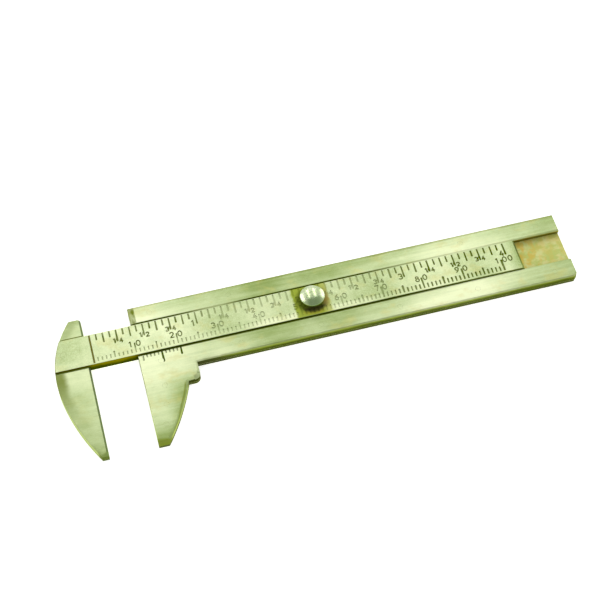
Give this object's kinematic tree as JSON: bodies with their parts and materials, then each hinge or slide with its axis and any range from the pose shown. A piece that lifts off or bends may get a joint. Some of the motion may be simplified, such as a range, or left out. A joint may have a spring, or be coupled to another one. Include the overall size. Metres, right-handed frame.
{
  "type": "vernier caliper",
  "caption": "Small brass vernier caliper: a crescent-headed dovetail bar with inch and metric scales slides in a flat slotted body with one jaw.",
  "frame": {"origin": "on the flat back face, on the bar's centre line, straight under the vernier's zero line", "axes": "+X along the bar away from the jaws, -Y the way the jaws point, +Z out of the front face"},
  "size_m": [0.1259, 0.0382, 0.005],
  "materials": {
    "body_brass": "brushed by hand, worn bright, dull in the corners",
    "bar_brass": "cross-brushed along the scale, dark dirt in the engraving",
    "head_brass": "brushed, darker along its rounded edge",
    "rivet_brass": "filed flush",
    "spring_brass": "hard-rolled strip",
    "button_steel": "nickelled and polished, worn",
    "pin_steel": "drawn wire"
  },
  "bodies": {
    "frame": {"back_plate": "body_brass", "upper_rail": "body_brass", "fixed_jaw": "body_brass", "upper_rail_rivets": "rivet_brass", "lower_rail_rivets": "rivet_brass", "jaw_rivets": "rivet_brass", "stop_pin": "pin_steel"},
    "slide": {"slide_bar": "bar_brass", "slide_head": "head_brass", "head_pins": "rivet_brass", "thumb_button": "button_steel", "friction_spring": "spring_brass"}
  },
  "joints": [
    {"name": "jaw_slide", "type": "slide", "parent": "frame", "child": "slide", "axis": [-1, 0, 0], "range_m": [-0.01128, 0.0807]}
  ]
}
